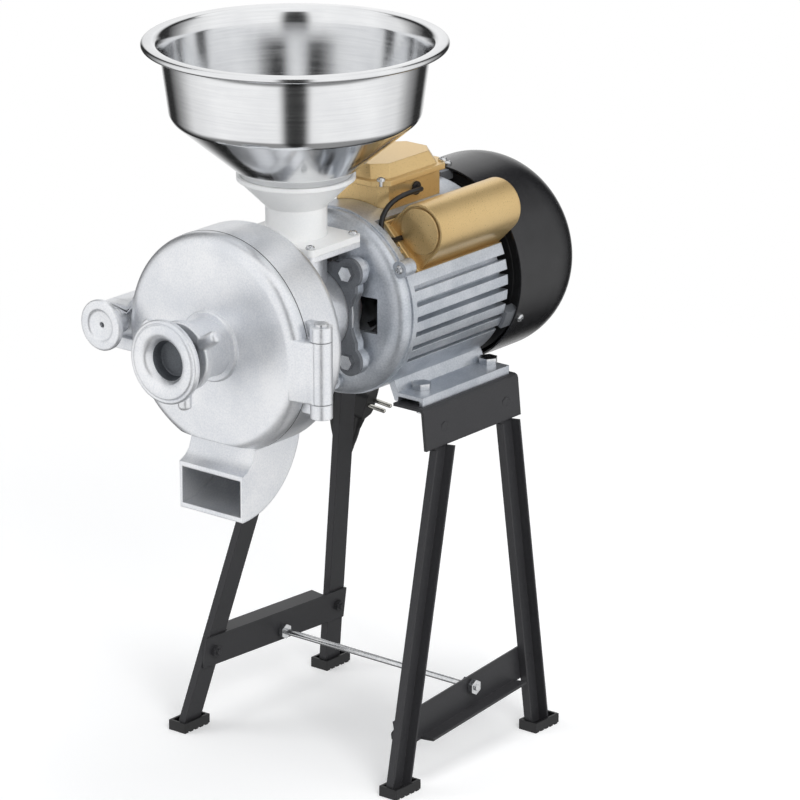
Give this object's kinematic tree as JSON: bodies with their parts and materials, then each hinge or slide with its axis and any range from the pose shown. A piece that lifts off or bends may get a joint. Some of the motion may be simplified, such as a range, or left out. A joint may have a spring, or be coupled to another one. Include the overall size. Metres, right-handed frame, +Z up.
{
  "type": "electric grain mill",
  "caption": "Electric grain mill: round hopper, feed neck, burr grinding head with hinged front cover and chute, fan-cooled motor with capacitor, on a folded-sheet stand with splayed legs.",
  "frame": {"origin": "on the floor, at the middle of the bounding box of the mill without its cord", "axes": "+Z up; the shaft runs along Y with the grinding head towards -Y and the fan towards +Y; +X is the side of the cover's hinge"},
  "size_m": [0.3011, 0.5195, 0.698],
  "materials": {
    "stand_paint": "satin black powder coat",
    "zinc_steel": "zinc plated",
    "cast_silver": "sand-cast, silver paint",
    "cast_dark": "dark grey paint",
    "bronze_paint": "bronze-gold metallic paint",
    "fan_black": "semi-gloss black enamel",
    "black_plastic": "moulded",
    "black_rubber": "moulded",
    "white_plastic": "moulded",
    "stainless": "polished stainless steel",
    "cast_iron": "ground face",
    "bronze": "turned",
    "lamination": "stacked sheet",
    "copper_wire": "enamelled wire",
    "pin_plate": "nickel plated",
    "tie_wire": "moulded"
  },
  "bodies": {
    "frame": {"cap_plate_right": "stand_paint", "cap_plate_left": "stand_paint", "leg_front_right": "stand_paint", "leg_rear_right": "stand_paint", "leg_front_left": "stand_paint", "leg_rear_left": "stand_paint", "crossbar_right": "stand_paint", "crossbar_left": "stand_paint", "tie_rod": "zinc_steel", "frame_bolts": "zinc_steel", "foot_caps": "black_plastic", "foot_bolts": "zinc_steel", "motor_body": "cast_silver", "front_bell": "cast_silver", "rear_bell": "cast_dark", "bell_screws": "zinc_steel", "front_bearing": "zinc_steel", "rear_bearing": "zinc_steel", "stator_core": "lamination", "stator_windings": "copper_wire", "fan_cover": "fan_black", "terminal_box": "bronze_paint", "box_lid": "bronze_paint", "lid_screws": "zinc_steel", "glands": "black_rubber", "capacitor_cover": "bronze_paint", "capacitor": "white_plastic", "capacitor_screw": "zinc_steel", "capacitor_lead": "black_rubber", "adapter_plate": "cast_dark", "flange_bolts": "zinc_steel", "mill_housing": "cast_silver", "hinge_pin": "zinc_steel", "swing_pin": "zinc_steel", "stationary_burr": "cast_iron", "burr_screws": "zinc_steel", "feed_neck": "white_plastic", "neck_screws": "zinc_steel", "power_cord": "black_rubber", "cord_hank": "black_rubber", "plug_cord": "black_rubber", "plug_pins": "pin_plate", "plug": "black_rubber", "hank_tie": "tie_wire"},
    "cover": {"mill_cover": "cast_silver"},
    "lock_ring": {"lock_ring": "cast_silver"},
    "thrust": {"thrust_pad": "bronze"},
    "screw": {"adjusting_spindle": "zinc_steel", "adjusting_knob": "cast_silver"},
    "swing_bolt": {"swing_bolt": "zinc_steel"},
    "clamp_seat": {"clamp_washer": "zinc_steel"},
    "clamp": {"clamp_knob": "cast_silver"},
    "shaft": {"motor_shaft": "zinc_steel", "rotor_core": "lamination", "cooling_fan": "black_plastic", "auger": "zinc_steel"},
    "grinder": {"burr_carrier": "cast_iron", "rotating_burr": "cast_iron", "rotor_screws": "zinc_steel"},
    "hopper": {"hopper": "stainless"}
  },
  "joints": [
    {"name": "cover_hinge", "type": "hinge", "parent": "frame", "child": "cover", "pos_m": [0.116, -0.177, 0.4319], "axis": [0, 0, 1], "range_deg": [0, 120]},
    {"name": "lock_ring_turn", "type": "hinge", "parent": "cover", "child": "lock_ring", "pos_m": [0, -0.23225, 0.4375], "axis": [0, -1, 0], "range_deg": [0, 120]},
    {"name": "thrust_travel", "type": "slide", "parent": "cover", "child": "thrust", "axis": [0, -1, 0], "range_m": [0, 0.004]},
    {"name": "knob_turn", "type": "hinge", "parent": "thrust", "child": "screw", "pos_m": [0, -0.24, 0.4375], "axis": [0, -1, 0], "range_deg": [0, 720]},
    {"name": "bolt_swing", "type": "hinge", "parent": "frame", "child": "swing_bolt", "pos_m": [-0.118, -0.1565, 0.4375], "axis": [0, 0, -1], "range_deg": [0, 90]},
    {"name": "clamp_travel", "type": "slide", "parent": "swing_bolt", "child": "clamp_seat", "axis": [0, -1, 0], "range_m": [0, 0.006]},
    {"name": "clamp_turn", "type": "hinge", "parent": "clamp_seat", "child": "clamp", "pos_m": [-0.118, -0.2, 0.4375], "axis": [0, -1, 0], "range_deg": [0, 1440]},
    {"name": "shaft_spin", "type": "hinge", "parent": "frame", "child": "shaft", "pos_m": [0, 0.05, 0.4375], "axis": [0, 1, 0], "continuous": true},
    {"name": "grinder_travel", "type": "slide", "parent": "shaft", "child": "grinder", "axis": [0, -1, 0], "range_m": [0, 0.004]},
    {"name": "hopper_lift", "type": "slide", "parent": "frame", "child": "hopper", "axis": [0, 0, 1], "range_m": [0, 0.15]}
  ],
  "couplings": [
    {"joint": "thrust_travel", "follows": "knob_turn", "m_per_rad": 0.00031831},
    {"joint": "grinder_travel", "follows": "knob_turn", "m_per_rad": 0.00031831},
    {"joint": "clamp_travel", "follows": "clamp_turn", "m_per_rad": 0.00023873}
  ]
}
